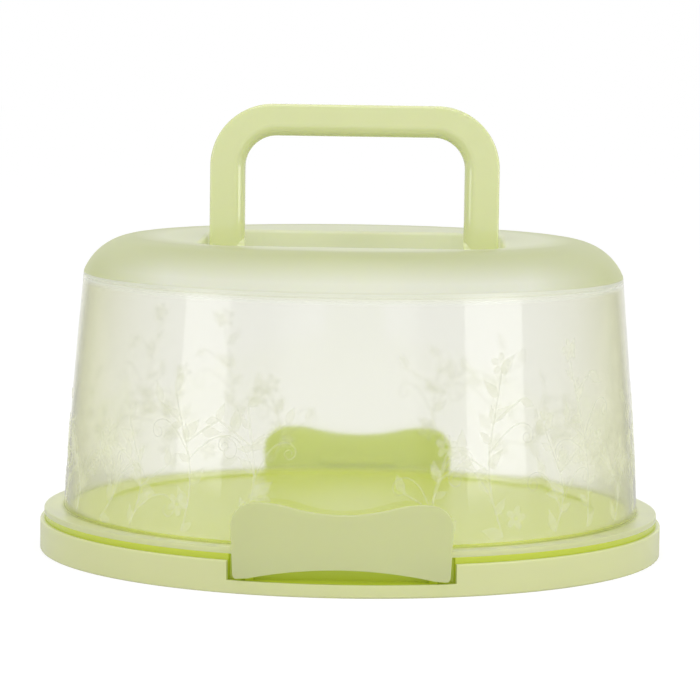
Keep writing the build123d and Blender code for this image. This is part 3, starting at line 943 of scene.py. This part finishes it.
def vine_tree(material, leaf, flower, flowers):
    """Geometry Nodes tree of the vine: one panel of stems, leaves and flowers, repeated and wrapped."""
    tree = bpy.data.node_groups.new("Raised Vine", "GeometryNodeTree")
    tree.interface.new_socket("Guides", in_out="INPUT", socket_type="NodeSocketGeometry")
    tree.interface.new_socket("Repeats", in_out="INPUT", socket_type="NodeSocketInt")
    for name in VINE_LENGTHS:
        tree.interface.new_socket(name, in_out="INPUT", socket_type="NodeSocketFloat")
    tree.interface.new_socket("Vine", in_out="OUTPUT", socket_type="NodeSocketGeometry")
    given = tree.nodes.new("NodeGroupInput")
    made = tree.nodes.new("NodeGroupOutput")
    link = tree.links.new

    upright = tree.nodes.new("GeometryNodeSetCurveNormal")
    upright.mode = "Z_UP"
    link(given.outputs["Guides"], upright.inputs["Curve"])
    guides = upright.outputs["Curve"]
    thickness = tree.nodes.new("GeometryNodeInputRadius").outputs["Radius"]
    joined = tree.nodes.new("GeometryNodeJoinGeometry")
    for geometry in (
        *set_flowers(tree, given, flower, flowers),
        set_leaves(tree, given, guides, thickness, leaf),
        swept_stems(tree, given, guides, thickness),
    ):
        link(geometry, joined.inputs["Geometry"])

    # Only the proud side is kept: the rest would lie inside the wall
    where = tree.nodes.new("GeometryNodeInputPosition")
    place = split(tree, where.outputs["Position"])
    solid = tree.nodes.new("GeometryNodeRealizeInstances")
    link(joined.outputs["Geometry"], solid.inputs["Geometry"])
    proud = tree.nodes.new("GeometryNodeDeleteGeometry")
    proud.domain = "FACE"
    link(solid.outputs["Geometry"], proud.inputs["Geometry"])
    link(calc(tree, "LESS_THAN", place[2], 0.0), proud.inputs["Selection"])

    flat = repeated(tree, given, proud.outputs["Geometry"])
    smooth = tree.nodes.new("GeometryNodeSetShadeSmooth")
    link(wrapped_round(tree, given, flat, place), smooth.inputs["Geometry"])
    coated = tree.nodes.new("GeometryNodeSetMaterial")
    coated.inputs["Material"].default_value = material
    link(smooth.outputs["Geometry"], coated.inputs["Geometry"])
    link(coated.outputs["Geometry"], made.inputs["Vine"])
    return tree


def set_tree_inputs(modifier, vine):
    """Sets the modifier's inputs from the vine settings of the same names."""
    for item in modifier.node_group.interface.items_tree:
        if item.item_type == "SOCKET" and item.in_out == "INPUT" and item.name in ("Repeats", *VINE_LENGTHS):
            modifier[item.identifier] = getattr(vine, item.name.lower().replace(" ", "_"))


def plain_copy(name, source):
    """The evaluated source as a plain mesh object."""
    shown = source.evaluated_get(bpy.context.evaluated_depsgraph_get())
    mesh = bpy.data.meshes.new_from_object(shown)
    mesh.name = name
    piece = bpy.data.objects.new(name, mesh)
    bpy.context.scene.collection.objects.link(piece)
    return piece


class CAKE_OT_vine(Operator):
    """Raise the vine on the clear wall"""

    bl_idname = "cake_carrier.vine"
    bl_label = "Raised Vine"

    def execute(self, context):
        vine = settings("cake_vine")
        finish = settings("cake_finish")
        material = frosted_relief("frosted_relief", finish.relief_colour, finish.relief_cover)
        leaf = bpy.data.objects.new("leaf_shape", leaf_mesh())
        flower = bpy.data.objects.new("flower_shape", flower_mesh())
        width = 2.0 * math.pi * vine.foot_radius / vine.repeats
        stems, tendrils, flowers = grown_vine(width / MM, vine.gap / MM, vine.stems, vine.seed)
        guides = vine_guides(stems, tendrils)
        modifier = guides.modifiers.new("Raised Vine", "NODES")
        modifier.node_group = vine_tree(material, leaf, flower, flowers)
        set_tree_inputs(modifier, vine)
        piece = plain_copy("wall_vine", guides)
        if len(piece.data.polygons) < FEWEST_FACES:
            raise RuntimeError("the raised vine came out empty")
        for scratch in (guides, leaf, flower):
            bpy.data.objects.remove(scratch)
        if not piece.data.materials:
            piece.data.materials.append(material)
        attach(piece, "cover")
        return {"FINISHED"}


# ---------------------------------------------------------------- stage

def seen_directly(tree):
    """One for the camera and for what glossy and clear surfaces show, nought for the light on things."""
    return any_ray(tree, "Is Camera Ray", "Is Glossy Ray", "Is Transmission Ray")


def room_brightness(tree, outward, side_grey):
    """White, but grey towards the left and right of the room in reflections."""
    x, y, _ = split(tree, outward)
    unit = tree.nodes.new("ShaderNodeVectorMath")
    unit.operation = "NORMALIZE"
    tree.links.new(vector(tree, x, y), unit.inputs["Vector"])
    across, _, _ = split(tree, unit.outputs["Vector"])
    fall = ranged(tree, calc(tree, "ABSOLUTE", across), SIDE_FALL, 1.0, side_grey)
    mixed = tree.nodes.new("ShaderNodeMix")
    mixed.data_type = "FLOAT"
    mixed.inputs["A"].default_value = 1.0
    tree.links.new(any_ray(tree, "Is Glossy Ray"), mixed.inputs["Factor"])
    tree.links.new(fall, mixed.inputs["B"])
    return mixed.outputs["Result"]


def floor_finish(name, side_grey):
    """Pale floor that shows white when seen and still takes the carrier's shadow."""
    material = fresh_material(name)
    tree = material.node_tree
    bounce = tinted(tree, "ShaderNodeBsdfDiffuse", FLOOR_BOUNCE)
    shown = tinted(tree, "ShaderNodeBsdfDiffuse", FLOOR_SHOWN)
    place = tree.nodes.new("ShaderNodeNewGeometry")
    room = room_brightness(tree, place.outputs["Position"], side_grey)
    glow = tree.nodes.new("ShaderNodeEmission")
    tree.links.new(calc(tree, "MULTIPLY", room, FLOOR_GLOW), glow.inputs["Strength"])
    white = tree.nodes.new("ShaderNodeAddShader")
    tree.links.new(shown, white.inputs[0])
    tree.links.new(glow.outputs["Emission"], white.inputs[1])
    shown_by(tree, blended(tree, seen_directly(tree), bounce, white.outputs["Shader"]))
    return material


def lay_floor(side_grey):
    """The floor, a plain square."""
    mesh = bpy.data.meshes.new("floor")
    corners = [(x * FLOOR_REACH, y * FLOOR_REACH, 0.0) for x, y in ((-1, -1), (1, -1), (1, 1), (-1, 1))]
    mesh.from_pydata(corners, [], [(0, 1, 2, 3)])
    floor = bpy.data.objects.new("floor", mesh)
    mesh.materials.append(floor_finish("floor_finish", side_grey))
    bpy.context.scene.collection.objects.link(floor)


def light_room(strength, side_grey):
    """Even light from all round, which shows white behind the carrier."""
    world = bpy.data.worlds.new("even_light")
    bpy.context.scene.world = world
    world.use_nodes = True
    tree = world.node_tree
    tree.nodes.clear()
    sky = tree.nodes.new("ShaderNodeBackground")
    sky.inputs["Color"].default_value = (1.0, 1.0, 1.0, 1.0)
    direction = tree.nodes.new("ShaderNodeTexCoord")
    span = tree.nodes.new("ShaderNodeMix")
    span.data_type = "FLOAT"
    span.inputs["A"].default_value = strength
    tree.links.new(seen_directly(tree), span.inputs["Factor"])
    tree.links.new(room_brightness(tree, direction.outputs["Generated"], side_grey), span.inputs["B"])
    tree.links.new(span.outputs["Result"], sky.inputs["Strength"])
    output = tree.nodes.new("ShaderNodeOutputWorld")
    tree.links.new(sky.outputs["Background"], output.inputs["Surface"])


def hang_lamp(name, place, target, width, height, power):
    """A rectangular lamp aimed at a point."""
    lamp = bpy.data.lights.new(name, "AREA")
    lamp.shape = "RECTANGLE"
    lamp.size = width
    lamp.size_y = height
    lamp.energy = power
    holder = bpy.data.objects.new(name, lamp)
    holder.location = place
    holder.rotation_euler = (Vector(target) - Vector(place)).to_track_quat("-Z", "Y").to_euler()
    holder.visible_camera = False
    holder.visible_transmission = False
    bpy.context.scene.collection.objects.link(holder)


def set_camera(stage):
    """The camera, in front of the carrier and a little above it."""
    camera_data = bpy.data.cameras.new("camera")
    camera_data.sensor_width = SENSOR_WIDTH
    camera_data.sensor_fit = "HORIZONTAL"
    camera_data.lens = stage.lens
    camera_data.clip_start, camera_data.clip_end = CAMERA_RANGE
    camera = bpy.data.objects.new("camera", camera_data)
    stand = Matrix.Translation((
        stage.camera_distance * math.sin(stage.camera_side),
        -stage.camera_distance * math.cos(stage.camera_side),
        stage.camera_height,
    ))
    turn = Matrix.Rotation(stage.camera_side + stage.camera_yaw, 4, "Z")
    tilt = Matrix.Rotation(math.pi / 2 - stage.camera_pitch, 4, "X")
    roll = Matrix.Rotation(stage.camera_roll, 4, "Z")
    camera.matrix_world = stand @ turn @ tilt @ roll
    bpy.context.scene.collection.objects.link(camera)
    bpy.context.scene.camera = camera


class CAKE_OT_stage(Operator):
    """Set the floor, the lamps and the camera"""

    bl_idname = "cake_carrier.stage"
    bl_label = "Stage"

    def execute(self, context):
        stage = settings("cake_stage")
        context.scene.view_settings.view_transform = "Standard"
        lay_floor(stage.side_grey)
        light_room(stage.world_strength, stage.side_grey)
        for name, place, target, width, height, group, share in LAMPS:
            hang_lamp(name, place, target, width, height, share * getattr(stage, group))
        set_camera(stage)
        return {"FINISHED"}


# ---------------------------------------------------------------- panel and run

class CAKE_PT_carrier(Panel):
    """Buttons and settings of the cake carrier"""

    bl_label = "Cake Carrier"
    bl_idname = "CAKE_PT_carrier"
    bl_space_type = "VIEW_3D"
    bl_region_type = "UI"
    bl_category = "Cake Carrier"

    def draw(self, context):
        column = self.layout.column(align=True)
        for operator in OPERATORS:
            column.operator(operator.bl_idname)
        for kind in ("cake_finish", "cake_vine", "cake_stage"):
            group = getattr(context.scene, kind)
            box = self.layout.box()
            for name in group.__annotations__:
                box.prop(group, name)


OPERATORS = (
    CAKE_OT_tray,
    CAKE_OT_cover_wall,
    CAKE_OT_cap,
    CAKE_OT_handle,
    CAKE_OT_latches,
    CAKE_OT_vine,
    CAKE_OT_stage,
)
CLASSES = (FinishSettings, VineSettings, StageSettings, *OPERATORS, CAKE_PT_carrier)


def register():
    for item in CLASSES:
        bpy.utils.register_class(item)
    bpy.types.Scene.cake_finish = PointerProperty(type=FinishSettings)
    bpy.types.Scene.cake_vine = PointerProperty(type=VineSettings)
    bpy.types.Scene.cake_stage = PointerProperty(type=StageSettings)


def unregister():
    del bpy.types.Scene.cake_stage
    del bpy.types.Scene.cake_vine
    del bpy.types.Scene.cake_finish
    for item in reversed(CLASSES):
        bpy.utils.unregister_class(item)


def main():
    """Makes every piece and the stage."""
    register()
    bpy.ops.cake_carrier.tray()
    bpy.ops.cake_carrier.cover_wall()
    bpy.ops.cake_carrier.cap()
    bpy.ops.cake_carrier.handle()
    bpy.ops.cake_carrier.latches()
    bpy.ops.cake_carrier.vine()
    bpy.ops.cake_carrier.stage()


if __name__ == "__main__":
    main()
